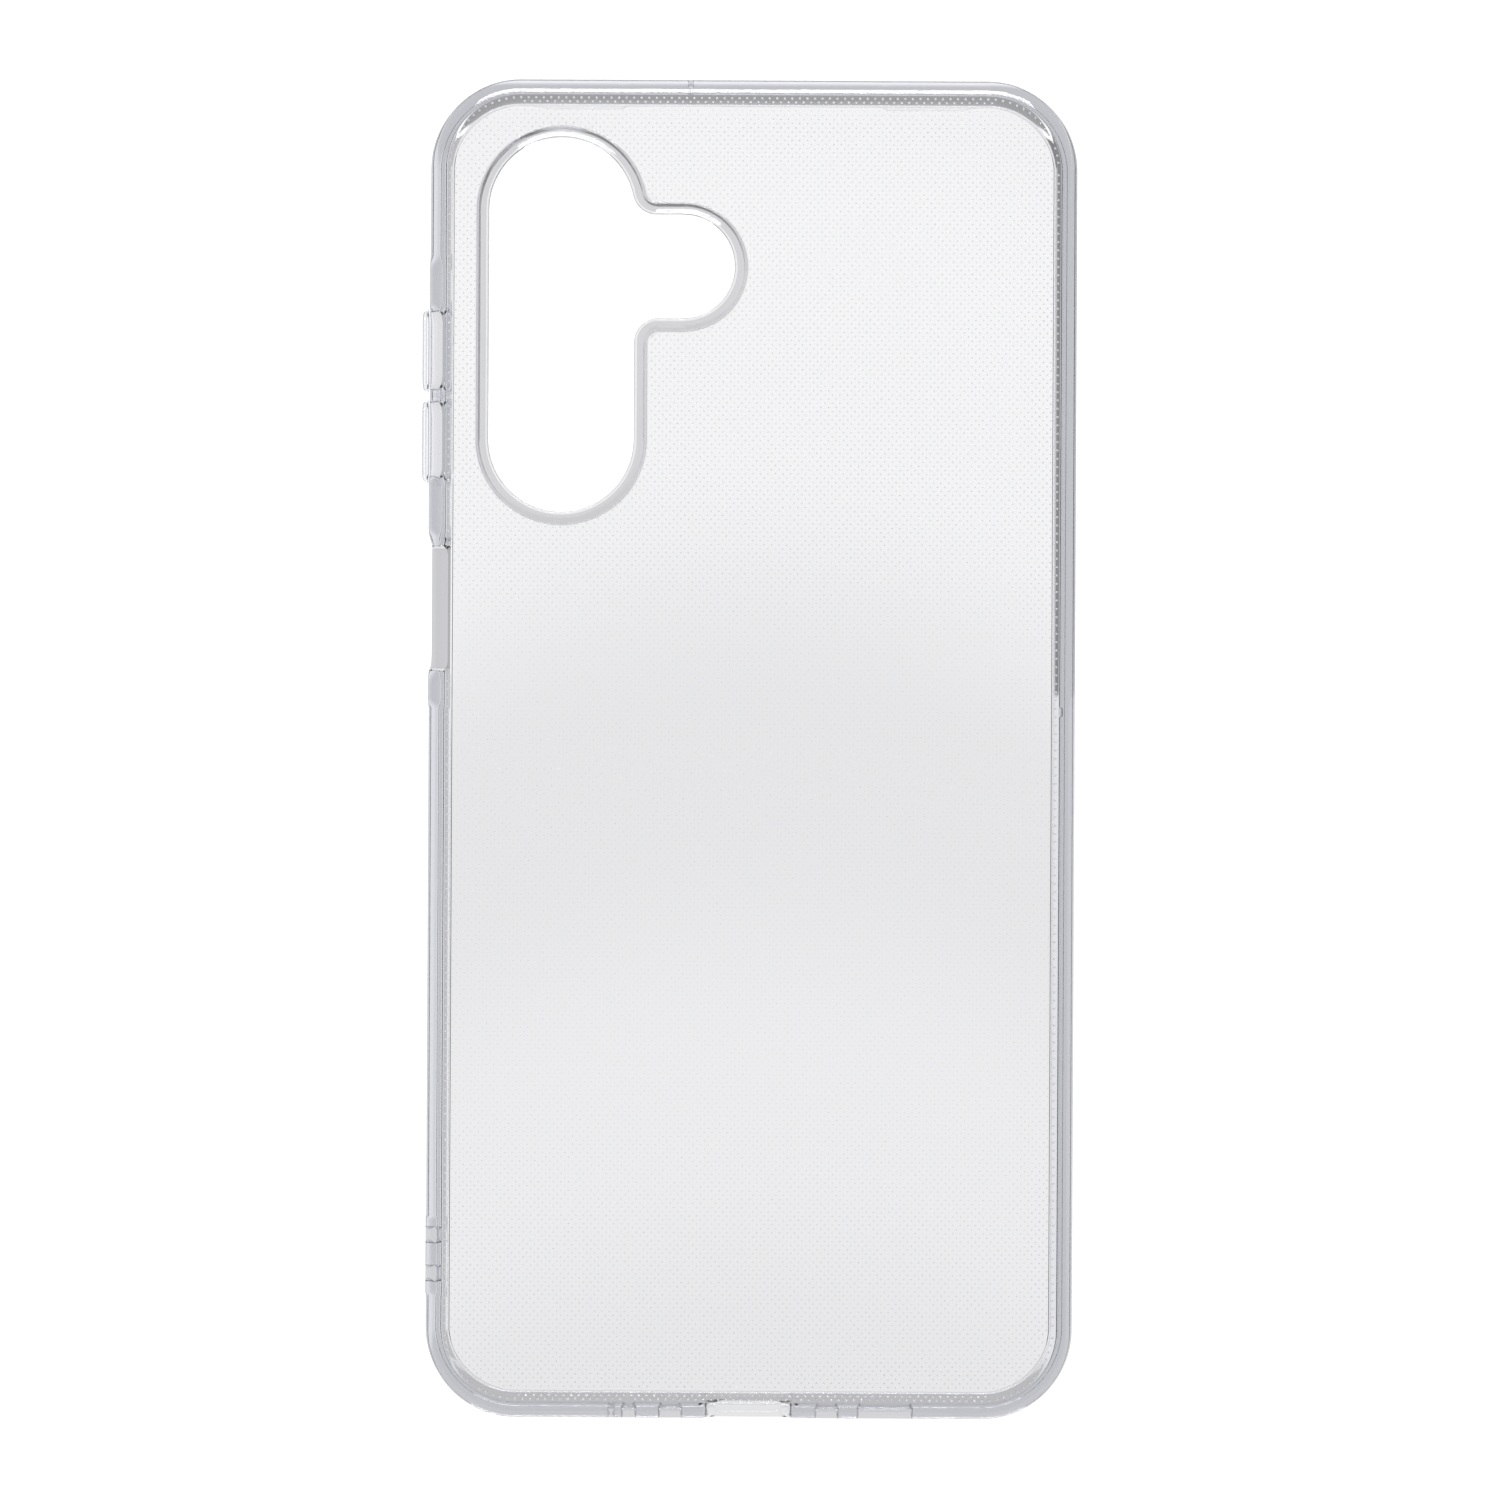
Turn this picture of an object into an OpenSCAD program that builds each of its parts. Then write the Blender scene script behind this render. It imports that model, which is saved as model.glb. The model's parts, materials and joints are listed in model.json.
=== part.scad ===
/* [Phone the case holds] */
// Length of the phone, along Y
phone_l = 163.6; // [160:0.1:170]
// Width of the phone, along X
phone_w = 77.1; // [74:0.1:80]
// Thickness of the phone, along Z
phone_t = 7.9; // [7.5:0.1:9]

/* [Shell] */
// Thickness of the side walls
wall_t = 1.9; // [1.8:0.1:2]
// Thickness of the back panel
back_t = 1.0; // [0.8:0.1:1.2]
// Outer radius of the four corners, seen from the back
corner_r = 11.3; // [10:0.1:13]
// Radius of the rounded edge between the back and the sides
edge_r = 3.0; // [2.8:0.1:3.2]
// How much thicker the side walls get towards the back
lean_in = 0.4; // [0.3:0.05:0.5]
// Width of the bevel between the side walls and the inside of the back
bevel_w = 0.55; // [0.5:0.05:0.6]
// Height of that bevel
bevel_h = 0.95; // [0.9:0.05:1.1]

/* [Screen lip] */
// Height of the lip that stands in front of the screen
lip_t = 0.9; // [0.7:0.1:1.2]
// How far the lip reaches over the screen
lip_over = 0.6; // [0.5:0.1:0.8]
// How much further the lip reaches over the screen's top edge
top_lip_extra = 0.4; // [0.2:0.1:0.6]
// Width of the gap in that extra strip, for the earpiece
earpiece_w = 31.6; // [20:0.1:36]

/* [Camera window] */
// Radius of the tall part of the camera window
cam_r = 9.05; // [8.5:0.05:9.5]
// Distance between the centres of the tall part's two round ends
cam_span = 28.5; // [26:0.1:30]
// Sideways place of the tall part
cam_x = -23.9; // [-24.2:0.1:-22]
// Place of the tall part's centre along the case
cam_y = 52.7; // [50:0.1:54]
// Radius of the round bump for the flash
flash_r = 6.45; // [6:0.05:7]
// Sideways place of the flash bump's centre
flash_x = -8.8; // [-10:0.1:-6]
// Place of the flash bump's centre along the case
flash_y = 60.0; // [59:0.1:61]
// Radius of the fillets between the two
cam_fillet = 3.0; // [2.5:0.1:3.5]
// Width of the raised ring around the window
ring_w = 1.5; // [1.2:0.1:1.7]
// How far the ring stands above the back
ring_h = 1.0; // [0.6:0.1:1.5]

/* [Volume keys] */
// Lower end of the key recess
key_y0 = 32.8; // [32.5:0.1:33]
// Upper end of the key recess
key_y1 = 55.4; // [55.2:0.1:55.6]
// Height of the key recess
key_h = 6.4; // [6:0.1:6.6]
// Length of one key pad
pad_l = 10.0; // [9:0.1:10.2]
// Height of one key pad
pad_h = 3.8; // [3:0.1:4.2]
// Distance between the centres of the two pads
pad_pitch = 11.4; // [11:0.1:11.6]
// How far a pad stands out from the side of the case
pad_out = 1.0; // [0.8:0.1:1.2]
// Depth of the pocket behind each pad, which leaves room for the phone's own key
key_room = 0.55; // [0.4:0.05:0.7]
// How far the thick ends of the key surround stand out from the side
surround_out = 0.5; // [0.4:0.05:0.6]
// How far the web stands out from the side
web_out = 0.4; // [0.3:0.05:0.4]
// Gap around a pad
pad_gap = 0.08; // [0.06:0.01:0.12]

/* [Side key window] */
// Lower end of the open side window
side_y0 = 9.4; // [9:0.1:10]
// Upper end of the open side window
side_y1 = 25.3; // [25:0.1:26]
// Height of the window's top face above the lip's underside
side_top = 8.3; // [8:0.1:8.4]
// How far the back edge is drawn in above the window
side_dip = 0.45; // [0.3:0.05:0.5]

/* [Strap anchor] */
// Place of the strap anchor's centre along the case
strap_y = -63.45; // [-64:0.05:-62]
// Length of the strap anchor's raised pad
strap_l = 8.9; // [8.5:0.1:9.5]
// How far the pad stands out
strap_out = 0.25; // [0.15:0.05:0.4]
// Radius of each strap hole
strap_hole_r = 1.0; // [0.8:0.1:1.1]
// Distance between the two strap holes
strap_pitch = 4.8; // [4.4:0.1:5]

/* [Ports] */
// Width of the charging port window
usb_w = 12.8; // [12:0.1:13.5]
// Height of the charging port window
usb_h = 6.5; // [6:0.1:6.6]
// Corner radius of the charging port window
usb_r = 2.2; // [1.5:0.1:2.6]
// Height of the small sound slots
slot_h = 1.5; // [1:0.1:2]
// Radius of the microphone hole in the top wall
top_mic_r = 0.3; // [0.25:0.05:0.5]

/* [Hidden] */
$fn = 96;

case_w = phone_w + 2 * wall_t;
case_l = phone_l + 2 * wall_t;
case_h = lip_t + phone_t + back_t;
half_w = case_w / 2;
half_l = case_l / 2;
// Straight stretches end where the corner arcs begin
straight_x = half_w - corner_r;
straight_y = half_l - corner_r;
// Distance in from the sides at which the wall sections end and the flat panel starts
band = 3.5;
lip_w = wall_t + lip_over;
cavity_top = case_h - back_t;
mid_z = lip_t + phone_t / 2;
// The cavity's side goes straight up to the shoulder, leans in along an arc, and ends in the bevel
shoulder_r = 6;
lean = acos(1 - lean_in / shoulder_r);
shoulder_z = cavity_top - bevel_h - shoulder_r * sin(lean);
key_mid_y = (key_y0 + key_y1) / 2;
// Ends of the wall stretches along the left side
frame_y0 = 28.4;
frame_y1 = 62.2;
bridge_y0 = 4;
strap_ramp = 0.6;
strap_y0 = strap_y - strap_l / 2 - strap_ramp;
strap_y1 = strap_y + strap_l / 2 + strap_ramp;
// Outline of the left side from below the side window to above the keys: each place along Y, and how far
// the side stands out there. It runs smoothly from one place to the next.
left_outline = [
  [bridge_y0, 0], [bridge_y0 + 0.8, 0], [bridge_y0 + 2.3, surround_out], [bridge_y0 + 3.8, surround_out],
  [side_y0 + 2.2, -side_dip], [side_y1 - 0.3, -side_dip], [side_y1 + 2.5, surround_out],
  [key_y0 + 0.1, surround_out], [key_y0 + 1.3, 0], [key_y1 - 0.9, 0], [key_y1 + 0.3, surround_out],
  [key_y1 + 4.1, surround_out], [key_y1 + 6.2, 0], [frame_y1, 0]
];
usb_frame_x = 8;
// Where the right wall's two stretches meet, just above the gate
right_split_y = 7;
eps = 0.01;
tint = [0.86, 0.88, 0.92, 0.45];
pad_tint = [0.80, 0.84, 0.92, 0.6];

// Cross-section of a side wall: x is the distance in from the outer face, y is the height
module wall_section() {
  difference() {
    translate([0, lip_t]) square([band, case_h - lip_t]);
    translate([0, case_h - edge_r]) difference() {
      translate([-1, 0]) square([edge_r + 1, edge_r + 1]);
      translate([edge_r, 0]) circle(edge_r);
    }
    cavity_section();
  }
}

// Cross-section of the cavity beside a wall, in the same axes
module cavity_section() {
  steps = 6;
  shoulder = [
    for (i = [0:steps]) let (turn = lean * i / steps)
      [wall_t + shoulder_r * (1 - cos(turn)), shoulder_z + shoulder_r * sin(turn)]
  ];
  ceiling = [[wall_t + lean_in + bevel_w, cavity_top], [2 * band, cavity_top]];
  polygon(concat([[2 * band, 0], [wall_t, 0]], shoulder, ceiling));
}

// Cross-section of the screen lip, rounded at its outer foot and along its free edge
module lip_section(reach = lip_w) {
  foot_r = 0.5;
  free_r = lip_t / 2;
  difference() {
    square([reach - free_r, lip_t]);
    translate([-1, -1]) square([foot_r + 1, foot_r + 1]);
  }
  translate([foot_r, foot_r]) intersection() {
    circle(foot_r);
    translate([-foot_r, -foot_r]) square([foot_r, foot_r]);
  }
  translate([reach - free_r, free_r]) circle(free_r);
}

// Runs a cross-section along the left side between two places on Y
module along_left(y0, y1, half = half_w) {
  translate([-half, y1, 0]) rotate([90, 0, 0]) linear_extrude(y1 - y0) children();
}

// The same along the top and bottom sides, between two places on X
module along_top(x0, x1) {
  rotate([0, 0, -90]) along_left(x0, x1, half_l) children();
}

module along_bottom(x0, x1) {
  rotate([0, 0, 90]) along_left(-x1, -x0, half_l) children();
}

// One corner of the shell, wall and lip together, in the +X +Y quarter
module corner() {
  translate([straight_x, straight_y, 0]) rotate_extrude(angle = 90)
    translate([corner_r, 0]) mirror([1, 0]) {
      wall_section();
      lip_section();
    }
}

// Smooth step from 0 to 1
function ease(t) = (1 - cos(180 * t)) / 2;

// The outline's points between two of its places, the second left out
function outline_run(a, b) =
  let (steps = a[1] == b[1] ? 1 : 12)
  [for (i = [0:steps - 1]) [-half_w - a[1] - (b[1] - a[1]) * ease(i / steps), a[0] + (b[0] - a[0]) * i / steps]];

// Plan of the left side as far in as the flat panel, bounded by an outline
module left_plan(outline) {
  last = len(outline) - 1;
  runs = [for (i = [0:last - 1]) each outline_run(outline[i], outline[i + 1])];
  polygon(concat(
    runs,
    [[-half_w - outline[last][1], outline[last][0]]],
    [[-half_w + band, outline[last][0]], [-half_w + band, outline[0][0]]]
  ));
}

// A stretch of left wall whose outer face follows an outline that stands out by up to a width
module shaped_wall(y0, y1, outline, out) {
  intersection() {
    union() {
      along_left(y0, y1) wall_section();
      translate([-out, 0, 0]) along_left(y0, y1) wall_section();
    }
    linear_extrude(case_h) left_plan(outline);
    cavity_clear(y0, y1);
  }
}

// Everything on the wall's side of the cavity, along a stretch of the left side
module cavity_clear(y0, y1) {
  difference() {
    translate([-half_w - 2, y0, 0]) cube([band + 2, y1 - y0, case_h]);
    along_left(y0 - 1, y1 + 1) cavity_section();
  }
}

// Outline with round ends, long side along its first axis
module slot_outline(length, height) {
  for (side = [-1, 1]) translate([side * (length - height) / 2, 0]) circle(height / 2);
  square([length - height, height], center = true);
}

// Prism through the left wall: the outline's first axis runs along Y, its second along Z
module through_left(y, z, x0, x1) {
  translate([x0, y, z]) rotate([90, 0, 90]) linear_extrude(x1 - x0) children();
}

// Outline of the camera window, grown outwards by a width
module camera_outline(grow = 0) {
  r = cam_r + grow;
  fr = flash_r + grow;
  fillet = cam_fillet - grow;
  top_y = cam_y + cam_span / 2;
  // Centre of the upper fillet: clear of the tall part's end arc and of the bump's top line
  upper_y = flash_y + flash_r + cam_fillet;
  upper_x = cam_x + sqrt(pow(cam_r + cam_fillet, 2) - pow(upper_y - top_y, 2));
  lower_x = cam_x + cam_r + cam_fillet;
  lower_y = flash_y - flash_r - cam_fillet;
  translate([cam_x, cam_y]) rotate(90) slot_outline(cam_span + 2 * r, 2 * r);
  translate([flash_x, flash_y]) circle(fr);
  translate([cam_x, flash_y - fr]) square([flash_x - cam_x, 2 * fr]);
  difference() {
    union() {
      translate([cam_x, flash_y]) square([upper_x - cam_x, upper_y - flash_y]);
      translate([cam_x, lower_y]) square([lower_x - cam_x, flash_y - lower_y]);
    }
    translate([upper_x, upper_y]) circle(fillet);
    translate([lower_x, lower_y]) circle(fillet);
    translate([cam_x, top_y]) camera_shoulder(upper_x - cam_x, upper_y - top_y);
  }
}

// What lies above the line from the tall part's end centre to the upper fillet's centre
module camera_shoulder(dx, dy) {
  reach = 2 * cam_r;
  polygon([[0, 0], [dx, dy], [dx, reach], [0, reach]]);
}

// Flat back, with room for the camera ring
module back_panel() {
  color(tint) translate([0, 0, cavity_top]) linear_extrude(back_t) difference() {
    union() {
      square([case_w - 2 * band, 2 * straight_y], center = true);
      square([2 * straight_x, case_l - 2 * band], center = true);
      for (x = [-1, 1]) for (y = [-1, 1])
        translate([x * straight_x, y * straight_y]) circle(corner_r - band);
    }
    camera_outline(ring_w);
  }
}

// Raised collar that keeps the camera glass off the table
module camera_ring() {
  color(tint) translate([0, 0, cavity_top]) linear_extrude(back_t + ring_h) difference() {
    camera_outline(ring_w);
    camera_outline(0);
  }
}

module top_wall() {
  mic_x = -8;
  color(tint) difference() {
    along_top(-straight_x, straight_x) wall_section();
    translate([mic_x, half_l + 1, mid_z]) rotate([90, 0, 0]) cylinder(h = wall_t + 2, r = top_mic_r);
  }
}

module right_wall_upper() {
  color(tint) mirror([1, 0, 0]) along_left(right_split_y, straight_y) wall_section();
}

module right_wall_lower() {
  gate_y = 4.8;
  gate_r = 0.65;
  gate_deep = 0.8;
  color(tint) difference() {
    mirror([1, 0, 0]) along_left(-straight_y, right_split_y) wall_section();
    // Dimple that the moulding gate leaves
    translate([half_w - gate_deep, gate_y, mid_z]) rotate([0, 90, 0]) cylinder(h = gate_deep + 1, r = gate_r);
  }
}

// A sound slot through the bottom wall
module bottom_slot(x, length) {
  translate([x, -half_l - 1, mid_z]) rotate([-90, 0, 0])
    linear_extrude(wall_t + 2) slot_outline(length, slot_h);
}

module bottom_wall_left() {
  mic_x = -15;
  pin_x = -17.2;
  pin_r = 0.35;
  vent_x = -9.8;
  vent_l = 2.6;
  color(tint) difference() {
    along_bottom(-straight_x, -usb_frame_x) wall_section();
    bottom_slot(mic_x, slot_h + eps);
    bottom_slot(vent_x, vent_l);
    translate([pin_x, -half_l - 1, mid_z]) rotate([-90, 0, 0]) cylinder(h = wall_t + 2, r = pin_r);
  }
}

module bottom_wall_right() {
  vent_x = 9.8;
  vent_l = 2.6;
  speaker_x = 17.1;
  speaker_l = 6.6;
  color(tint) difference() {
    along_bottom(usb_frame_x, straight_x) wall_section();
    bottom_slot(vent_x, vent_l);
    bottom_slot(speaker_x, speaker_l);
  }
}

// Short stretch of the bottom wall around the charging port window
module usb_port_frame() {
  usb_z = 8.2 - usb_h / 2;
  color(tint) difference() {
    along_bottom(-usb_frame_x, usb_frame_x) wall_section();
    translate([0, -half_l - 1, usb_z]) rotate([-90, 0, 0]) linear_extrude(band + 2) {
      square([usb_w - 2 * usb_r, usb_h], center = true);
      square([usb_w, usb_h - 2 * usb_r], center = true);
      for (x = [-1, 1]) for (z = [-1, 1])
        translate([x * (usb_w / 2 - usb_r), z * (usb_h / 2 - usb_r)]) circle(usb_r);
    }
  }
}

module left_wall_upper() {
  color(tint) along_left(frame_y1, straight_y) wall_section();
}

// Outline of the recess behind the keys, with rounded corners
module key_recess_outline() {
  r = 1.2;
  long = key_y1 - key_y0;
  square([long - 2 * r, key_h], center = true);
  square([long, key_h - 2 * r], center = true);
  for (y = [-1, 1]) for (z = [-1, 1])
    translate([y * (long / 2 - r), z * (key_h / 2 - r)]) circle(r);
}

// Surround of the volume keys, thick at both ends and open in the middle
module key_frame() {
  color(tint) difference() {
    shaped_wall(frame_y0, frame_y1, left_outline, surround_out);
    through_left(key_mid_y, mid_z, -half_w - 2, -half_w + band) key_recess_outline();
  }
}

// Web across the recess, as thick as the wall and a little more, with a clear slot for each pad
module key_web() {
  color(tint) difference() {
    through_left(key_mid_y, mid_z, -half_w - web_out, -half_w + band) key_recess_outline();
    along_left(key_y0 - 1, key_y1 + 1) cavity_section();
    for (side = [-1, 1])
      through_left(key_mid_y + side * pad_pitch / 2, mid_z, -half_w - 2, -half_w + band)
        slot_outline(pad_l + 2 * pad_gap, pad_h + 2 * pad_gap);
  }
}

// One key pad, with a softened outer edge
module key_pad(side) {
  soft = 0.35;
  color(pad_tint) hull() {
    through_left(key_mid_y + side * pad_pitch / 2, mid_z, -half_w - pad_out, -half_w - pad_out + eps)
      slot_outline(pad_l - 2 * soft, pad_h - 2 * soft, $fn = 32);
    through_left(key_mid_y + side * pad_pitch / 2, mid_z,
      -half_w - pad_out + soft, -half_w + wall_t - key_room)
      slot_outline(pad_l, pad_h, $fn = 32);
  }
}

module volume_up_pad() {
  key_pad(1);
}

module volume_down_pad() {
  key_pad(-1);
}

// Outline of the side window: open at the lip, round at its two upper corners
module side_window_outline() {
  r = 1.5;
  long = side_y1 - side_y0;
  translate([side_y0, -1]) square([long, side_top - r + 1]);
  translate([side_y0 + r, 0]) square([long - 2 * r, side_top]);
  for (y = [side_y0 + r, side_y1 - r]) translate([y, side_top - r]) circle(r);
}

// Stretch of wall with the open window for the side key, bridged along the back edge
module side_key_bridge() {
  color(tint) difference() {
    shaped_wall(bridge_y0, frame_y0, left_outline, surround_out);
    through_left(0, 0, -half_w - 2, -half_w + band - eps) side_window_outline();
  }
}

module left_wall_lower() {
  color(tint) {
    along_left(-straight_y, strap_y0) wall_section();
    along_left(strap_y1, bridge_y0) wall_section();
  }
}

// Short raised stretch of wall with two strap holes and the bar between them
module strap_anchor() {
  outline = [
    [strap_y0, 0], [strap_y0 + strap_ramp, strap_out], [strap_y1 - strap_ramp, strap_out], [strap_y1, 0]
  ];
  color(tint) difference() {
    shaped_wall(strap_y0, strap_y1, outline, strap_out);
    for (side = [-1, 1]) translate([-half_w - 1, strap_y + side * strap_pitch / 2, mid_z])
      rotate([0, 90, 0]) cylinder(h = wall_t + 2, r = strap_hole_r);
  }
}

module corner_top_left() {
  color(tint) mirror([1, 0, 0]) corner();
}

module corner_top_right() {
  color(tint) corner();
}

module corner_bottom_left() {
  color(tint) mirror([1, 0, 0]) mirror([0, 1, 0]) corner();
}

module corner_bottom_right() {
  color(tint) mirror([0, 1, 0]) corner();
}

// The top lip reaches a little further, except in front of the earpiece
module lip_top() {
  color(tint) {
    along_top(-straight_x, straight_x) lip_section();
    along_top(-straight_x, -earpiece_w / 2) lip_section(lip_w + top_lip_extra);
    along_top(earpiece_w / 2, straight_x) lip_section(lip_w + top_lip_extra);
  }
}

module lip_right() {
  color(tint) mirror([1, 0, 0]) along_left(-straight_y, straight_y) lip_section();
}

module lip_bottom() {
  color(tint) along_bottom(-straight_x, straight_x) lip_section();
}

// The left lip stops at the side window
module lip_left_upper() {
  color(tint) along_left(side_y1, straight_y) lip_section();
}

module lip_left_lower() {
  color(tint) along_left(-straight_y, side_y0) lip_section();
}

back_panel();
camera_ring();
top_wall();
right_wall_upper();
right_wall_lower();
bottom_wall_left();
bottom_wall_right();
usb_port_frame();
left_wall_upper();
key_frame();
key_web();
volume_up_pad();
volume_down_pad();
side_key_bridge();
left_wall_lower();
strap_anchor();
corner_top_left();
corner_top_right();
corner_bottom_left();
corner_bottom_right();
lip_top();
lip_right();
lip_bottom();
lip_left_upper();
lip_left_lower();
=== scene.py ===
"""Looks of a clear flexible phone case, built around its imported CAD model. All sizes are in metres."""

import json
import math

import bmesh
import bpy
import numpy as np
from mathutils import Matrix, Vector
from mathutils.geometry import delaunay_2d_cdt


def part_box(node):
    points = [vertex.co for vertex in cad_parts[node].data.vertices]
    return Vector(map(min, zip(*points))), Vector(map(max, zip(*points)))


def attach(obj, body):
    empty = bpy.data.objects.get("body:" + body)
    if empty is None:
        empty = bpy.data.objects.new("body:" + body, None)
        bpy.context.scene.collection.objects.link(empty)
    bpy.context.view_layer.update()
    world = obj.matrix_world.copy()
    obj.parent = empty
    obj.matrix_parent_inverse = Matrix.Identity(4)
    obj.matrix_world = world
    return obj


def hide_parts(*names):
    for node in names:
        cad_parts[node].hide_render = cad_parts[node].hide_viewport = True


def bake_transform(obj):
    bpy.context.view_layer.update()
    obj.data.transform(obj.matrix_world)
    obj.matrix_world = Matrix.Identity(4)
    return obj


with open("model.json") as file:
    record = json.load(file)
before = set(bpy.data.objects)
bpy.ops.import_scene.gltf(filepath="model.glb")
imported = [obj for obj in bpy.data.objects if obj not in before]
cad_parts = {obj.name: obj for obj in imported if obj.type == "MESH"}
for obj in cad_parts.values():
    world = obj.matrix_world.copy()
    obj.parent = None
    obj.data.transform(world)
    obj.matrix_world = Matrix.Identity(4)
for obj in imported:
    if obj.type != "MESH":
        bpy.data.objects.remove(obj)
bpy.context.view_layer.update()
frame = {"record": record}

MM = 0.001

# ---------------------------------------------------------------- sizes taken from the frame

corner_low, corner_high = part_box("corner_top_right")
HALF_W, HALF_L, BACK_Z = corner_high
CORNER_R = corner_high.x - corner_low.x
STRAIGHT_X = HALF_W - CORNER_R
STRAIGHT_Y = HALF_L - CORNER_R

panel_low, panel_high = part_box("back_panel")
CAVITY_Z = panel_low.z
BAND = HALF_W - panel_high.x

lip_low, lip_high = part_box("lip_right")
LIP_W = HALF_W - lip_low.x
LIP_T = lip_high.z
TOP_LIP_W = HALF_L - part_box("lip_top")[0].y

RING_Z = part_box("camera_ring")[1].z
SURROUND_OUT = -HALF_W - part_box("key_frame")[0].x
STRAP_OUT = -HALF_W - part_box("strap_anchor")[0].x

web_low, web_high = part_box("key_web")
KEY_Y0, KEY_Y1 = web_low.y, web_high.y
WEB_OUT = -HALF_W - web_low.x
PAD_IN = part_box("volume_up_pad")[1].x + HALF_W
SIDE_Y0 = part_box("lip_left_lower")[1].y
SIDE_Y1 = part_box("lip_left_upper")[0].y

# ---------------------------------------------------------------- sizes that the frame's boxes don't give

# The wall's cross-section: distances in from the side (U) and heights (Z)
WALL_T = 1.9 * MM
EDGE_R = 3.0 * MM
SHOULDER_R = 6.0 * MM
LOWEST_INNER_Z = 2.5 * MM
BEVEL_U0 = 2.3 * MM
BEVEL_U1 = 2.85 * MM
BEVEL_Z0 = CAVITY_Z - 0.95 * MM
CORNER_FILLET = 0.06 * MM
RIM_U = 3.05 * MM
RIM_STEP = 0.07 * MM
PANEL_U = 3.9 * MM
BULGE_Z0, BULGE_Z1 = 0.9 * MM, 2.2 * MM
FOOT_R = 0.5 * MM
FREE_R = LIP_T / 2
LIP_FILLET = 0.35 * MM
MID_Z = (LIP_T + CAVITY_Z) / 2

# The bevel is this much wider inside the end walls, and the top lip leaves a gap for the earpiece
END_BEVEL = 0.55 * MM
EARPIECE_W = 31.6 * MM

# The camera window is a tall slot with a round bump towards the flash
CAM_R = 9.05 * MM
CAM_SPAN = 28.5 * MM
CAM_X, CAM_Y = -23.9 * MM, 52.7 * MM
FLASH_R = 6.45 * MM
FLASH_X, FLASH_Y = -8.8 * MM, 60.0 * MM
CAM_FILLET = 3.0 * MM

# Its ring has an upright rim, then a narrow ledge and a slope that widen the bore towards the phone
RING_W = 1.5 * MM
RING_RIM = 0.6 * MM
RING_LEDGE = 0.35 * MM
RING_BORE_W = 1.3 * MM
RING_SLOPE = 0.35

# Holes, keys and marks; each cutter starts at a distance outside the case
OUTSIDE = 2 * MM
SIDE_TOP = 8.3 * MM
SIDE_DIP = 0.45 * MM
SIDE_R = 1.5 * MM
WEB_R = 1.2 * MM
USB_W, USB_H, USB_R = 12.8 * MM, 6.5 * MM, 2.2 * MM
USB_TOP = 8.2 * MM
SLOT_H = 1.5 * MM
KEY_MARGIN = 0.6 * MM
GATE_Y = 4.8 * MM
GATE_R = 0.65 * MM
GATE_DEEP = 0.8 * MM

# The ceiling's dots, the blocks on the bevel, the dots' sizes along Y, and the painted shade that greys
# the ones near the top
DOT_PITCH_X, DOT_PITCH_Y = 0.94 * MM, 1.04 * MM
DOT_R, DOT_TALL, DOT_SUNK = 0.14 * MM, 0.03 * MM, 0.02 * MM
BLOCK_R, BLOCK_TALL = 0.12 * MM, 0.01 * MM
DOT_FADE_Y = (-60 * MM, -38 * MM, 0.0, 10 * MM, 20 * MM)
DOT_SIZES = (1.0, 0.5, 0.3, 0.5, 1.0)
DOT_GREY_Y = (15 * MM, 32 * MM)
DOT_GREY = 0.16

# How far the left side stands out, at places along Y from below the side window to above the keys
BRIDGE_Y0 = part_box("side_key_bridge")[0].y
LEFT_OUTLINE = [
    (BRIDGE_Y0 + 0.8 * MM, 0.0),
    (BRIDGE_Y0 + 2.3 * MM, SURROUND_OUT),
    (BRIDGE_Y0 + 3.8 * MM, SURROUND_OUT),
    (SIDE_Y0 + 2.2 * MM, -SIDE_DIP),
    (SIDE_Y1 - 0.3 * MM, -SIDE_DIP),
    (SIDE_Y1 + 2.5 * MM, SURROUND_OUT),
    (KEY_Y0 + 0.1 * MM, SURROUND_OUT),
    (KEY_Y0 + 1.3 * MM, 0.0),
    (KEY_Y1 - 0.9 * MM, 0.0),
    (KEY_Y1 + 0.3 * MM, SURROUND_OUT),
    (KEY_Y1 + 4.1 * MM, SURROUND_OUT),
    (KEY_Y1 + 6.2 * MM, 0.0),
]
strap_low, strap_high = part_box("strap_anchor")
STRAP_RAMP = 0.6 * MM
STRAP_OUTLINE = [
    (strap_low.y, 0.0),
    (strap_low.y + STRAP_RAMP, STRAP_OUT),
    (strap_high.y - STRAP_RAMP, STRAP_OUT),
    (strap_high.y, 0.0),
]

# ---------------------------------------------------------------- numbers for the looks

# How strongly the material bends light, how far that is taken back on the faces of holes (1 is all of
# it), and the grey of painted shade on the ring's underside, holes, side window and upper dots
TPU_IOR = 1.49
SEAM, HOLE_SIDE, WINDOW_SIDE = 1.0, 0.8, 0.88
PAINTED_SHADE_TINT = (0.54, 0.54, 0.57)

# What the clear case shows of the table, in place of the white that the camera sees: the level under the
# case, where it turns at the case's edge, and for each side a level at the edge and one further out, set
# for the walls' tones
# Painted shadow under the case and painted light and shade beyond its sides
PAINTED_SHADOW_UNDER = 0.87
GLOW_TURN = (1.2 * MM, 0.4 * MM)
GLOW_FADE = 5.0 * MM
EDGE_LEFT, GLOW_LEFT = 1.15, 0.62
EDGE_TOP, GLOW_TOP = 1.45, 0.4
EDGE_BOTTOM, GLOW_BOTTOM = 0.85, 0.6
EDGE_RIGHT, GLOW_RIGHT_UP, GLOW_RIGHT_LOW = 0.87, 0.26, 0.97
GLOW_TURN_Y = 7.0 * MM

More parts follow.
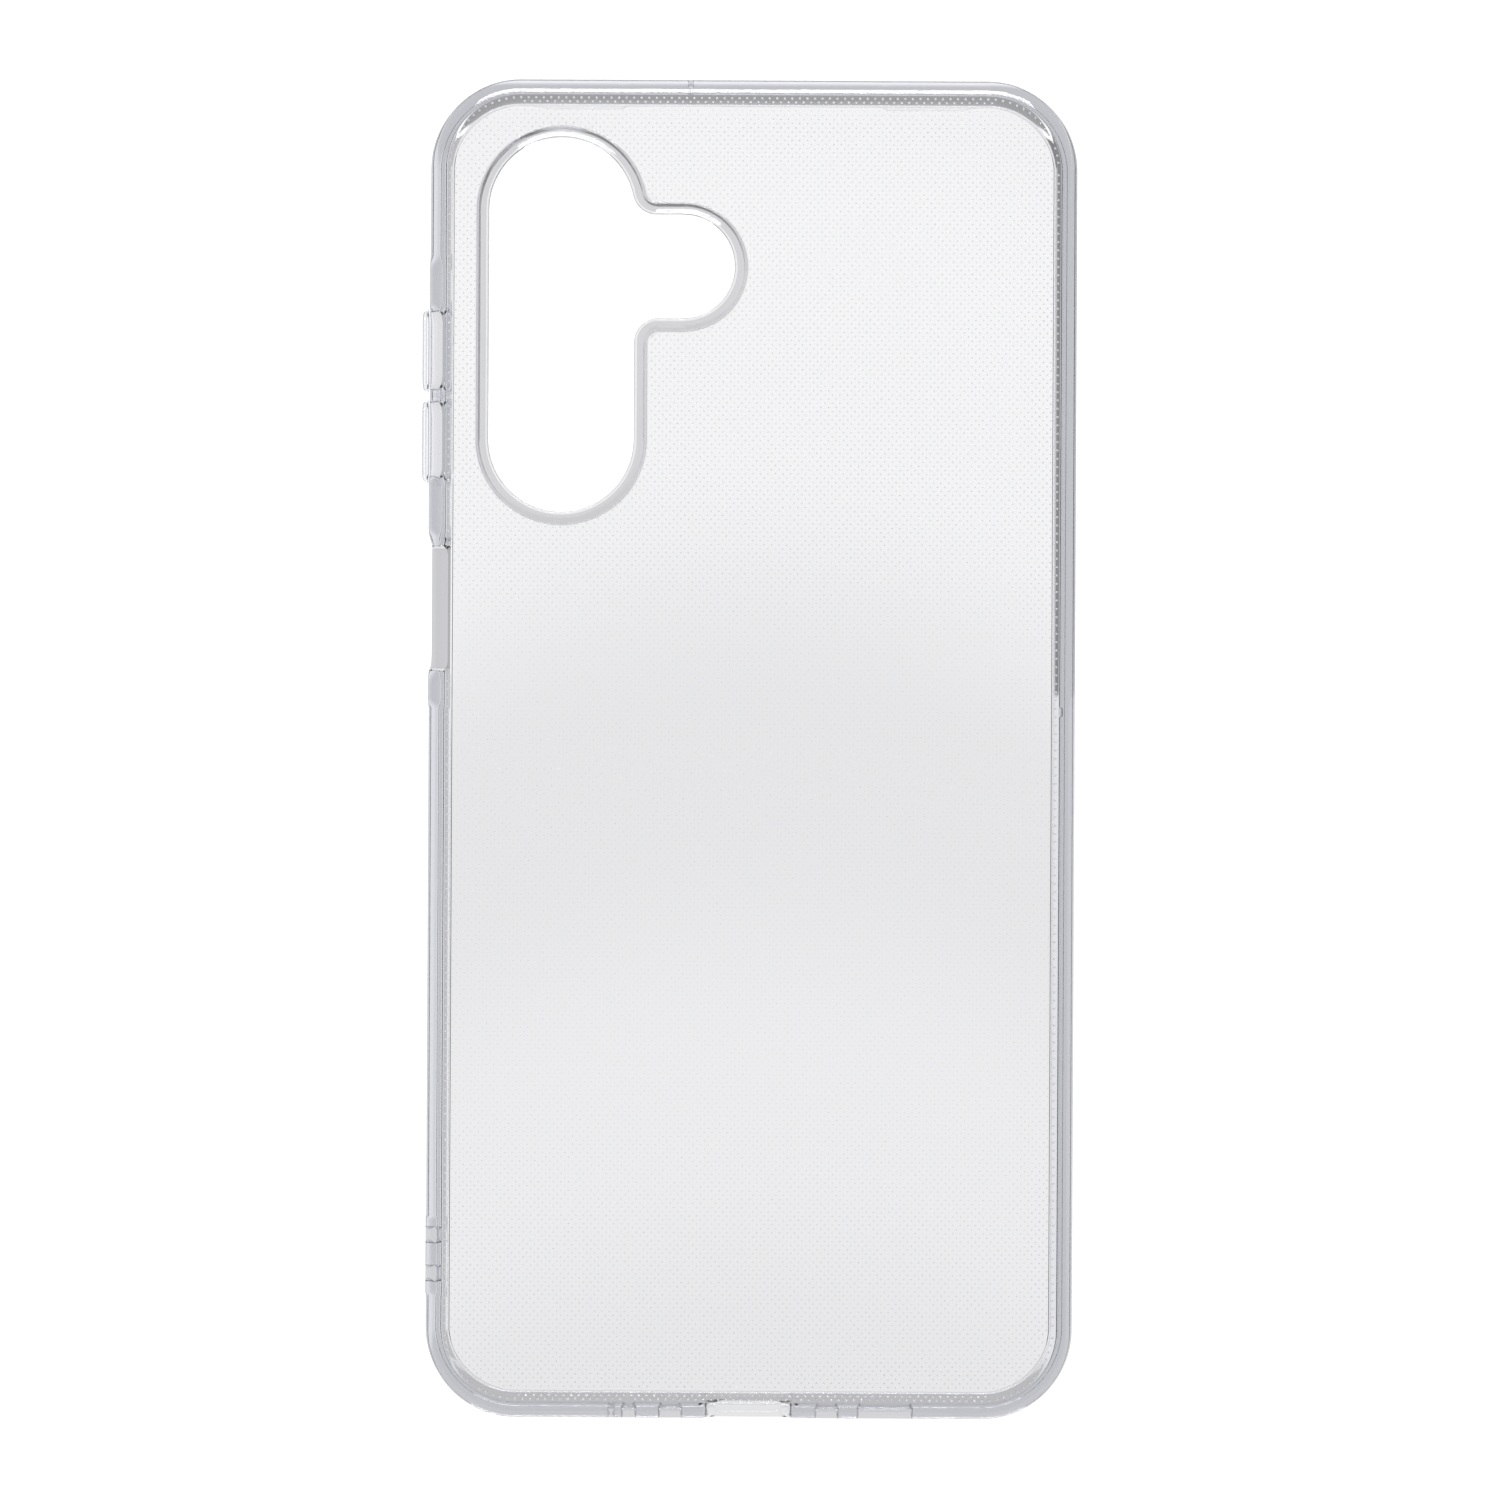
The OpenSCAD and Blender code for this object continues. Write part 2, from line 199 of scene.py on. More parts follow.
# The sky: levels by height all round, and levels along Y overhead, on lines that bend with X
SKY_STRENGTH = 4.0
SIDE_LEVEL = 0.0375
SKY_BY_HEIGHT = [(0.0, 0.15), (0.06, SIDE_LEVEL), (0.45, SIDE_LEVEL), (0.7, 0.12), (0.9, 0.15)]
SKY_OVERHEAD = [
    (0.29, 0.13), (0.36, 0.28), (0.39, 0.28), (0.48, 0.1),
    (0.51, 0.1), (0.61, 0.48), (0.68, 0.53), (0.85, 0.2),
]
SKY_REACH = 0.3
SKY_BEND = 4.0

CAMERA_PLACE = (-0.19 * MM, -0.12 * MM, 0.605)
CAMERA_TURN = 0.28
CAMERA_LENS = 114.7


# ---------------------------------------------------------------- mesh helpers

def ease(t):
    """Smooth step from 0 to 1."""
    return (1 - math.cos(math.pi * t)) / 2


def arc(centre, radii, start, end, steps):
    """Points along an arc, both ends included; angles in degrees."""
    turns = np.radians(np.linspace(start, end, steps + 1))
    return [(centre[0] + radii[0] * math.cos(t), centre[1] + radii[1] * math.sin(t)) for t in turns]


def mesh_object(name, verts, faces):
    mesh = bpy.data.meshes.new(name)
    mesh.from_pydata([tuple(v) for v in verts], [], faces)
    mesh.validate()
    obj = bpy.data.objects.new(name, mesh)
    bpy.context.scene.collection.objects.link(obj)
    return obj


def faces_round(stations, columns):
    """Quads between open cross-sections that follow each other in a closed round."""
    faces = []
    for i in range(stations):
        a, b = i * columns, (i + 1) % stations * columns
        faces += [(a + k, a + k + 1, b + k + 1, b + k) for k in range(columns - 1)]
    return faces


def faces_between_loops(loops, around, first=0):
    """Quads between closed loops that lie one after the other, each with the same number of points."""
    faces = []
    for i in range(loops - 1):
        a, b = first + i * around, first + (i + 1) * around
        faces += [(a + k, a + (k + 1) % around, b + (k + 1) % around, b + k) for k in range(around)]
    return faces


def closed_loft(loops):
    """Vertices and faces of a solid through equal loops, with a cap on each end."""
    around = len(loops[0])
    verts = [p for loop in loops for p in loop]
    faces = faces_between_loops(len(loops), around)
    faces.append(tuple(reversed(range(around))))
    faces.append(tuple(range((len(loops) - 1) * around, len(loops) * around)))
    return verts, faces


def inside(points, loop):
    """Which of the points lie inside a closed outline, as an array of true and false."""
    points, loop = np.asarray(points), np.asarray(loop)
    hit = np.zeros(len(points), bool)
    for (x0, y0), (x1, y1) in zip(loop, np.roll(loop, -1, axis=0)):
        if y0 == y1:
            continue
        crosses = (points[:, 1] < y0) != (points[:, 1] < y1)
        hit ^= crosses & (points[:, 0] < x0 + (points[:, 1] - y0) * (x1 - x0) / (y1 - y0))
    return hit


def flat_ring_faces(outer, inner, outer_ids, inner_ids, up):
    """Triangles of a flat face between two outlines, given the outlines' vertex numbers."""
    plan = [Vector(p) for p in outer] + [Vector(p) for p in inner]
    ids = list(outer_ids) + list(inner_ids)
    edges = [(i, (i + 1) % len(outer)) for i in range(len(outer))]
    edges += [(len(outer) + i, len(outer) + (i + 1) % len(inner)) for i in range(len(inner))]
    points, _, triangles, origins, _, _ = delaunay_2d_cdt(plan, edges, [], 1, 1e-9)
    middles = [sum((points[i] for i in t), Vector((0, 0))) / 3 for t in triangles]
    in_hole = inside(middles, inner)
    in_panel = inside(middles, outer)
    faces = []
    for t, hole, panel in zip(triangles, in_hole, in_panel):
        if hole or not panel:
            continue
        a, b, c = (points[i] for i in t)
        turn = (b - a).cross(c - a)
        numbers = [ids[origins[i][0]] for i in t]
        faces.append(tuple(numbers if (turn > 0) == up else reversed(numbers)))
    return faces


# ---------------------------------------------------------------- the shell's wall and lip

def outline_out(outline, place):
    """How far a side stands out at a place along it."""
    for (a, out_a), (b, out_b) in zip(outline, outline[1:]):
        if a <= place <= b:
            return out_a + (out_b - out_a) * ease((place - a) / (b - a))
    return 0.0


def side_places(end, outlines=()):
    """Places along a side where the wall gets a cross-section, from -end to end."""
    closest = 0.06 * MM
    places = set(np.linspace(-end, end, 25))
    for outline in outlines:
        for (a, out_a), (b, out_b) in zip(outline, outline[1:]):
            places |= set(np.linspace(a, b, 2 if out_a == out_b else 13))
    kept = [-end]
    for place in sorted(places):
        if place - kept[-1] > closest and end - place > closest:
            kept.append(place)
    return kept + [end]


def cavity_side(wide=0.0):
    """The cavity's side as (distance in, height), from low on the wall up to the ceiling: straight, leaning
    in over a shoulder, then a bevel, which may be wider. Round the ceiling runs a smooth rim, a small step
    above the dots."""
    bevel_w = BEVEL_U1 + wide - BEVEL_U0
    lean = math.acos(1 - (BEVEL_U0 - WALL_T) / SHOULDER_R)
    bottom = BEVEL_Z0 - SHOULDER_R * math.sin(lean)
    points = [(WALL_T, LOWEST_INNER_Z)]
    points += arc((WALL_T + SHOULDER_R, bottom), (SHOULDER_R, SHOULDER_R), 180, 180 - math.degrees(lean), 8)
    turn = math.atan2(CAVITY_Z - BEVEL_Z0, bevel_w)
    cut_back = CORNER_FILLET * math.tan(turn / 2)
    for part in (0.33, 0.67):
        points.append((BEVEL_U0 + bevel_w * part, BEVEL_Z0 + (CAVITY_Z - BEVEL_Z0) * part))
    centre = (BEVEL_U1 + wide + cut_back, CAVITY_Z + RIM_STEP - CORNER_FILLET)
    points += arc(centre, (CORNER_FILLET, CORNER_FILLET), math.degrees(turn) + 90, 90, 6)
    rim = RIM_U + wide
    points += [(rim, CAVITY_Z + RIM_STEP), (rim + RIM_STEP, CAVITY_Z)]
    return points + [(PANEL_U, CAVITY_Z)]


def inner_face(height):
    """Distance in from the side to the wall's inner face, at a height in the cavity."""
    places, heights = zip(*cavity_side())
    return float(np.interp(height, heights, places))


def wall_section(out, reach, wide):
    """Cross-section of the wall and lip as (distance in from the side, height), from the back round the
    outside and the lip to the cavity's ceiling. The two ends join the flat panel."""
    bulge, dip = max(out, 0), max(-out, 0)
    points = [(PANEL_U, BACK_Z)]
    points += arc((EDGE_R, BACK_Z - EDGE_R), (EDGE_R + bulge, EDGE_R), 90, 180, 18)
    for height in (5.0 * MM, 3.2 * MM, BULGE_Z1):
        points.append((-bulge, height))
    for part in (0.2, 0.4, 0.6, 0.8, 1.0):
        points.append((-bulge * (1 - ease(part)), BULGE_Z1 - (BULGE_Z1 - BULGE_Z0) * part))
    points += arc((FOOT_R, FOOT_R), (FOOT_R, FOOT_R), 180, 270, 6)
    points += arc((reach - FREE_R, FREE_R), (FREE_R, FREE_R), -90, 90, 12)
    points += arc((WALL_T + LIP_FILLET, LIP_T + LIP_FILLET), (LIP_FILLET, LIP_FILLET), 270, 180, 6)
    points += cavity_side(wide)
    return [(max(u, dip), z) for u, z in points]


def wall_stations():
    """Where the cross-sections stand: point on the outline, direction outwards, stand-out and lip width.
    They go round clockwise seen from the back: left, top, right, bottom."""
    stations = []

    def corner_arc(x, y, start):
        for angle in np.radians(np.linspace(start, start - 90, 33))[1:-1]:
            n = (math.cos(angle), math.sin(angle))
            stations.append(((x + CORNER_R * n[0], y + CORNER_R * n[1]), n, 0.0, LIP_W))

    for y in side_places(STRAIGHT_Y, (LEFT_OUTLINE, STRAP_OUTLINE)):
        out = outline_out(LEFT_OUTLINE, y) + outline_out(STRAP_OUTLINE, y)
        stations.append(((-HALF_W, y), (-1, 0), out, LIP_W))
    corner_arc(-STRAIGHT_X, STRAIGHT_Y, 180)
    # The top lip's extra strip fades in beside the corners, and leaves a gap for the earpiece
    fade, ramp = 4 * MM, 1.2 * MM
    gap = EARPIECE_W / 2
    lip_outline = [
        (-STRAIGHT_X, 0.0), (-STRAIGHT_X + fade, 1.0), (-gap - ramp, 1.0), (-gap, 0.0),
        (gap, 0.0), (gap + ramp, 1.0), (STRAIGHT_X - fade, 1.0), (STRAIGHT_X, 0.0),
    ]
    for x in side_places(STRAIGHT_X, (lip_outline,)):
        reach = LIP_W + (TOP_LIP_W - LIP_W) * outline_out(lip_outline, x)
        stations.append(((x, HALF_L), (0, 1), 0.0, reach))
    corner_arc(STRAIGHT_X, STRAIGHT_Y, 90)
    for y in reversed(side_places(STRAIGHT_Y)):
        stations.append(((HALF_W, y), (1, 0), 0.0, LIP_W))
    corner_arc(STRAIGHT_X, -STRAIGHT_Y, 0)
    for x in reversed(side_places(STRAIGHT_X)):
        stations.append(((x, -HALF_L), (0, -1), 0.0, LIP_W))
    corner_arc(-STRAIGHT_X, -STRAIGHT_Y, -90)
    return stations


# ---------------------------------------------------------------- the camera window

def camera_outline(grow):
    """Outline of the camera window grown by a width, clockwise seen from the back, as points (x, y)."""
    top_y, low_y = CAM_Y + CAM_SPAN / 2, CAM_Y - CAM_SPAN / 2
    rise = FLASH_R + CAM_FILLET
    # Centre of the upper fillet, which touches the tall part's end arc and the bump's top line
    upper_y = FLASH_Y + rise
    upper_x = CAM_X + math.sqrt((CAM_R + CAM_FILLET) ** 2 - (upper_y - top_y) ** 2)
    lower_x, lower_y = CAM_X + CAM_R + CAM_FILLET, FLASH_Y - rise
    shoulder = math.degrees(math.atan2(upper_y - top_y, upper_x - CAM_X))
    big, bump, fillet = CAM_R + grow, FLASH_R + grow, CAM_FILLET - grow
    points = []
    points += arc((CAM_X, top_y), (big, big), 180, shoulder, 48)
    points += arc((upper_x, upper_y), (fillet, fillet), shoulder + 180, 270, 16)[1:]
    points += arc((FLASH_X, FLASH_Y), (bump, bump), 90, -90, 48)
    points += arc((lower_x, lower_y), (fillet, fillet), 90, 180, 24)
    points += arc((CAM_X, low_y), (big, big), 0, -180, 64)
    return points


def ring_profile():
    """The camera ring's cross-section as (growth from the window, height), from the back panel over the
    ring's top and down its bore to the cavity's ceiling."""
    foot, top_out, top_in, under = 0.25 * MM, 0.3 * MM, 0.25 * MM, 0.15 * MM
    rim_z = RING_Z - RING_RIM
    profile = arc((RING_W + foot, BACK_Z + foot), (foot, foot), 270, 180, 5)
    profile += arc((RING_W - top_out, RING_Z - top_out), (top_out, top_out), 0, 90, 8)
    profile += arc((top_in, RING_Z - top_in), (top_in, top_in), 90, 180, 8)
    chamfer_low = rim_z - RING_SLOPE * (RING_BORE_W - RING_LEDGE)
    profile += [(0.0, rim_z), (RING_LEDGE, rim_z), (RING_BORE_W, chamfer_low)]
    profile += arc((RING_BORE_W + under, CAVITY_Z + under), (under, under), 180, 270, 4)
    return profile


def shell_mesh():
    """The case as one closed surface: walls and lip all round, the camera ring and the back between."""
    stations = wall_stations()
    sections = [wall_section(out, reach, END_BEVEL * abs(n[1])) for _, n, out, reach in stations]
    columns = len(sections[0])
    verts = []
    for (point, outward, _, _), section in zip(stations, sections):
        verts += [(point[0] - u * outward[0], point[1] - u * outward[1], z) for u, z in section]
    faces = faces_round(len(stations), columns)
    first = len(verts)
    profile = ring_profile()
    loops = [camera_outline(grow) for grow, _ in profile]
    around = len(loops[0])
    for loop, (_, z) in zip(loops, profile):
        verts += [(x, y, z) for x, y in loop]
    faces += faces_between_loops(len(loops), around, first)
    for column, loop_number, up in ((0, 0, True), (columns - 1, len(loops) - 1, False)):
        outer_ids = [i * columns + column for i in range(len(stations))]
        start = first + loop_number * around
        faces += flat_ring_faces(
            [verts[i][:2] for i in outer_ids], loops[loop_number],
            outer_ids, range(start, start + around), up)
    return verts, faces


# ---------------------------------------------------------------- holes through the walls

def slot_outline(length, height, steps=12):
    """Outline with round ends, as (along, up) about its centre."""
    r = height / 2
    half = max(length / 2 - r, 1e-6)
    return arc((half, 0), (r, r), -90, 90, steps) + arc((-half, 0), (r, r), 90, 270, steps)


def rounded_outline(length, height, r, steps=8):
    x, z = length / 2 - r, height / 2 - r
    points = []
    for cx, cz, start in ((x, -z, -90), (x, z, 0), (-x, z, 90), (-x, -z, 180)):
        points += arc((cx, cz), (r, r), start, start + 90, steps)
    return points


def on_side(side, along, z, depth):
    """Point at a depth in from one of the four sides."""
    if side == "left":
        return (-HALF_W + depth, along, z)
    if side == "right":
        return (HALF_W - depth, along, z)
    if side == "top":
        return (along, HALF_L - depth, z)
    return (along, -HALF_L + depth, z)


def hole(side, along, z, outline, profile):
    """Cutter for a hole: outline(grow) gives its shape, and profile lists (depth, grow)."""
    return [[on_side(side, along + a, z + b, depth) for a, b in outline(grow)] for depth, grow in profile]


def flared(mouth, bore_end, funnel):
    """Profile of a hole that opens with a rounded mouth outside and a funnel inside."""
    turns = np.radians(np.linspace(0, 90, 7))
    rounding = [(mouth * (1 - math.cos(t)), mouth * (1 - math.sin(t))) for t in turns]
    return [(-OUTSIDE, mouth)] + rounding + [(bore_end, 0.0), (WALL_T, funnel), (WALL_T + 0.3 * MM, funnel)]


def bore_cutters():
    """Small round and long holes, with mouths that are rounded outside and funnelled inside."""
    cutters = []

    def slot(side, along, length, height, mouth=0.12 * MM, funnel=0.25 * MM):
        cutters.append(hole(
            side, along, MID_Z, lambda g: slot_outline(length + 2 * g, height + 2 * g),
            flared(mouth, 0.9 * MM, funnel)))

    slot("bottom", -15.0 * MM, SLOT_H, SLOT_H)
    slot("bottom", -17.2 * MM, 0.7 * MM, 0.7 * MM, 0.08 * MM, 0.1 * MM)
    slot("bottom", -9.8 * MM, 2.6 * MM, SLOT_H)
    slot("bottom", 9.8 * MM, 2.6 * MM, SLOT_H)
    slot("bottom", 17.1 * MM, 6.6 * MM, SLOT_H)
    slot("top", -8.0 * MM, 0.6 * MM, 0.6 * MM, 0.06 * MM, 0.06 * MM)
    for mount in frame["record"]["mounts"]:
        if mount["kind"] == "bore":
            bore = 2 * mount["dims"]["r_mm"] * MM
            slot("left", mount["pos_m"][1], bore, bore, 0.2 * MM, 0.1 * MM)
    return cutters


def web_cutter():
    """The shallow recess that the volume keys' web lies in."""
    return hole(
        "left", (KEY_Y0 + KEY_Y1) / 2, (web_low.z + web_high.z) / 2,
        lambda g: rounded_outline(KEY_Y1 - KEY_Y0 + 2 * g, web_high.z - web_low.z + 2 * g, WEB_R),
        [(-OUTSIDE, 0.1 * MM), (-WEB_OUT, 0.0)])


def gate_cutter():
    """The dimple that the trimmed moulding gate leaves."""
    return hole(
        "right", GATE_Y, MID_Z, lambda g: slot_outline(2 * (GATE_R + g), 2 * (GATE_R + g)),
        [(-OUTSIDE, 0.1 * MM), (0.1 * MM, 0.1 * MM), (0.2 * MM, 0.0), (GATE_DEEP, -0.1 * MM)])


def side_key_cutter():
    """The window for the phone's side key, which is open towards the screen."""
    reach = 12 * MM
    return hole(
        "left", (SIDE_Y0 + SIDE_Y1) / 2, SIDE_TOP - reach / 2,
        lambda g: rounded_outline(SIDE_Y1 - SIDE_Y0 + 2 * g, reach, SIDE_R),
        [(-OUTSIDE, 0.0), (BAND - 0.02 * MM, 0.0)])


def port_cutter():
    """The charging port's window, which narrows inwards along its length."""
    return hole(
        "bottom", 0, USB_TOP - USB_H / 2,
        lambda g: rounded_outline(USB_W + 2 * g, USB_H + 0.4 * g, USB_R),
        [(-OUTSIDE, 0.0), (0.1 * MM, 0.0), (1.2 * MM, -0.9 * MM), (4 * MM, -1.0 * MM)])


def key_cutters():
    """The places that the volume keys and the margins round them fill."""
    cutters = []
    for pad in ("volume_up_pad", "volume_down_pad"):
        low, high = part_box(pad)
        length, height = high.y - low.y + 2 * KEY_MARGIN, high.z - low.z + 2 * KEY_MARGIN
        cutters.append(hole(
            "left", (low.y + high.y) / 2, (low.z + high.z) / 2,
            lambda g, length=length, height=height: slot_outline(length + 2 * g, height + 2 * g, 24),
            [(-OUTSIDE, 0.0), (BEVEL_U1 - 0.1 * MM, 0.0)]))
    return cutters


def cut(obj, cutter_loops, material):
    """Cuts closed solids out of an object, and gives the cut faces a material."""
    verts, faces = [], []
    for loops in cutter_loops:
        solid_verts, solid_faces = closed_loft(loops)
        faces += [tuple(len(verts) + i for i in face) for face in solid_faces]
        verts += solid_verts
    tool = mesh_object("cutter", verts, faces)
    make_normals_outward(tool)
    paint(tool, material)
    modifier = obj.modifiers.new("holes", "BOOLEAN")
    modifier.operation = "DIFFERENCE"
    modifier.solver = "MANIFOLD"
    modifier.material_mode = "TRANSFER"
    modifier.object = tool
    apply_modifiers(obj)
    bpy.data.objects.remove(tool)


def make_normals_outward(obj):
    work = bmesh.new()
    work.from_mesh(obj.data)
    bmesh.ops.recalc_face_normals(work, faces=work.faces)
    work.to_mesh(obj.data)
    work.free()


def apply_modifiers(obj):
    bpy.context.view_layer.update()
    graph = bpy.context.evaluated_depsgraph_get()
    mesh = bpy.data.meshes.new_from_object(obj.evaluated_get(graph))
    obj.modifiers.clear()
    obj.data = mesh


def smooth(obj, angle=32):
    """Smooth shading with crisp edges above an angle, and normals weighted so that flat faces stay flat."""
    obj.data.shade_smooth()
    obj.data.set_sharp_from_angle(angle=math.radians(angle))
    modifier = obj.modifiers.new("normals", "WEIGHTED_NORMAL")
    modifier.keep_sharp = True
    modifier.weight = 100
    apply_modifiers(obj)


# ---------------------------------------------------------------- volume keys

def even_loop(points, count):
    """The same closed outline with points spaced evenly along it."""
    points = np.array(list(points) + [points[0]])
    lengths = np.concatenate([[0], np.cumsum(np.hypot(*np.diff(points, axis=0).T))])
    at = np.linspace(0, lengths[-1], count, endpoint=False)
    return np.column_stack([np.interp(at, lengths, points[:, i]) for i in (0, 1)])


def key_piece(name, node):
    """A volume key: the raised pad, the margin of the web that bends, and the pocket behind the pad."""
    low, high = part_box(node)
    middle_y, middle_z = (low.y + high.y) / 2, (low.z + high.z) / 2
    pad_l, pad_h = high.y - low.y, high.z - low.z
    proud = -HALF_W - low.x - WEB_OUT
    # The margin runs a hair's breadth into the shell, so that the light sees no gap between them
    margin = KEY_MARGIN + 0.02 * MM
    start = even_loop(slot_outline(pad_l + 2 * margin, pad_h + 2 * margin, 24), 160)

    def pad_loop(grow):
        """Slot outline with its points in the same directions as the border's."""
        loop = even_loop(slot_outline(pad_l + 2 * grow, pad_h + 2 * grow, 24), 720)
        angles = np.arctan2(loop[:, 1] * pad_l / pad_h, loop[:, 0])
        wanted = np.arctan2(start[:, 1] * pad_l / pad_h, start[:, 0])
        order = np.argsort(angles)
        return np.column_stack([
            np.interp(wanted, angles[order], loop[order, i], period=2 * math.pi) for i in (0, 1)])

    foot, brow = 0.2 * MM, 0.28 * MM
    outer = [(start, 0.0)]
    outer += [(pad_loop(a), h) for a, h in arc((foot, foot), (foot, foot), 270, 180, 4)]
    outer += [(pad_loop(a), h) for a, h in arc((-brow, proud - brow), (brow, brow), 0, 90, 6)]
    outer.append((pad_loop(-1.2 * MM), proud))
    inner = [(start, 0.0), (pad_loop(0.1 * MM), 0.0), (pad_loop(0.0), 0.3), (pad_loop(-0.1 * MM), 1.0)]
    loops = []
    for loop, height in reversed(outer):
        loops.append([(-HALF_W - WEB_OUT - height, middle_y + a, middle_z + b) for a, b in loop])
    for loop, depth in inner:
        loops.append([
            (-HALF_W + (1 - depth) * inner_face(middle_z + b) + depth * PAD_IN, middle_y + a, middle_z + b)
            for a, b in loop])
    verts, faces = closed_loft(loops)
    piece = mesh_object(name, verts, faces)
    make_normals_outward(piece)
    smooth(piece, 50)
    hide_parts(node)
    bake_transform(piece)
    # On the real case the pad goes in whole, and the web bends between it and the shell
    # The edge that meets the shell is no surface in the one moulding, so the light goes straight through,
    # and the pocket's sides bend it less
    paint(piece, shell_tpu)
    centres = np.array([face.center for face in piece.data.polygons])
    normals = np.array([face.normal for face in piece.data.polygons])
    upright = np.abs(normals[:, 0]) < 0.8
    pocket_sides = (centres[:, 0] > -HALF_W + 1 * MM) & upright
    joined = np.where(pocket_sides, HOLE_SIDE, 0.0)
    joined[beyond_pad(centres, middle_y, middle_z, pad_l, pad_h) > KEY_MARGIN] = SEAM
    layer = piece.data.attributes.new("joined", "FLOAT", "FACE")
    layer.data.foreach_set("value", joined.astype(np.float32))


def beyond_pad(points, middle_y, middle_z, pad_l, pad_h):
    """Distance of each point from the pad's outline, in the plane of the wall."""
    along = np.maximum(np.abs(points[:, 1] - middle_y) - (pad_l - pad_h) / 2, 0)
    return np.hypot(along, points[:, 2] - middle_z) - pad_h / 2


# ---------------------------------------------------------------- fine dots on the inside of the back

def inset_and_outward(x, y):
    """Distance in from the case's outline, and the direction outwards there."""
    qx, qy = np.abs(x) - STRAIGHT_X, np.abs(y) - STRAIGHT_Y
    round_corner = (qx > 0) & (qy > 0)
    reach = np.hypot(qx, qy)
    inset = np.where(round_corner, CORNER_R - reach, CORNER_R - np.maximum(qx, qy))
    sideways = qx > qy
    nx = np.where(round_corner, qx / reach, sideways.astype(float)) * np.sign(x)
    ny = np.where(round_corner, qy / reach, (~sideways).astype(float)) * np.sign(y)
    return inset, nx, ny


def dot_places():
    """A fine quincunx over the ceiling, and the rows on the bevel round it."""
    xs = np.arange(-44, 45) * DOT_PITCH_X
    ys = np.arange(-82, 83) * DOT_PITCH_Y
    grid = np.concatenate([
        np.array(np.meshgrid(xs, ys)).reshape(2, -1).T,
        np.array(np.meshgrid(xs + DOT_PITCH_X / 2, ys + DOT_PITCH_Y / 2)).reshape(2, -1).T])
    inset, _, ny = inset_and_outward(grid[:, 0], grid[:, 1])
    keep = inset > RIM_U + END_BEVEL * np.abs(ny) + RIM_STEP + DOT_R
    keep &= ~inside(grid, camera_outline(RING_W + 0.2 * MM))
    # A row runs along the bevel on each side, except over the side key's window, two run along each end,
    # and one goes round each corner
    row = (BEVEL_U0 + BEVEL_U1) / 2
    corner_turn = 6
    rows = [(side * (HALF_W - row), y) for side in (-1, 1) for y in ys if abs(y) < STRAIGHT_Y]
    rows = [(x, y) for x, y in rows if x > 0 or not SIDE_Y0 - 1 * MM < y < SIDE_Y1 + 1 * MM]
    for side in (-1, 1):
        for place, shift in ((row, 0.0), (row + 0.45 * MM, DOT_PITCH_X / 2)):
            rows += [(x + shift, side * (HALF_L - place)) for x in xs if abs(x) < STRAIGHT_X]
        for angle in np.radians(np.arange(corner_turn, 90, corner_turn)):
            reach = CORNER_R - row
            x, y = STRAIGHT_X + reach * math.cos(angle), STRAIGHT_Y + reach * math.sin(angle)
            rows += [(x, side * y), (-x, side * y)]
    return grid[keep], np.array(rows)


def ceiling_dots(places):
    """Low points, which keep the clear back from clinging to the phone. They are full size near the top,
    where painted shade greys them a little, small in the middle and full size again at the bottom."""
    verts, faces, painted_grey = [], [], []
    for x, y in places:
        i = len(verts)
        size = np.interp(y, DOT_FADE_Y, DOT_SIZES)
        r = DOT_R * size
        high, low = CAVITY_Z + DOT_SUNK, CAVITY_Z - DOT_TALL * size
        verts += [(x + r, y, high), (x, y + r, high), (x - r, y, high), (x, y - r, high), (x, y, low)]
        faces.append((i, i + 1, i + 2, i + 3))
        faces += [(i + (k + 1) % 4, i + k, i + 4) for k in range(4)]
        # Painted shade: the dots near the top get a greyer colour
        painted_grey += [np.interp(y, DOT_GREY_Y, (0.0, DOT_GREY))] * 5
    dots = mesh_object("ceiling_dots", verts, faces)
    dots.data.attributes.new("thick", "FLOAT", "FACE").data.foreach_set("value", painted_grey)
    return dots


def bevel_dots(places):
    """Small blocks on the bevel with level ends, because the mould draws them straight out."""
    r = BLOCK_R
    corners = [(-r, -r), (-r, r), (r, r), (r, -r)]
    inset, out_x, out_y = inset_and_outward(places[:, 0], places[:, 1])
    bevel_end = BEVEL_U1 + END_BEVEL * np.abs(out_y)
    slope = (CAVITY_Z - BEVEL_Z0) / (bevel_end - BEVEL_U0)
    verts, faces = [], []
    for (x, y), u, nx, ny, end, rise in zip(places, inset, out_x, out_y, bevel_end, slope):
        i = len(verts)
        level = CAVITY_Z - (end - u + r) * rise - BLOCK_TALL
        for inward, along in corners:
            height = CAVITY_Z - (end - u - inward) * rise + DOT_SUNK
            verts.append((x - inward * nx - along * ny, y - inward * ny + along * nx, height))
        verts += [(px, py, level) for px, py, _ in verts[i:]]
        faces += [(i, i + 1, i + 2, i + 3), (i + 7, i + 6, i + 5, i + 4)]
        faces += [(i + k, i + 4 + k, i + 4 + (k + 1) % 4, i + (k + 1) % 4) for k in range(4)]
    return mesh_object("bevel_dots", verts, faces)


# ---------------------------------------------------------------- materials

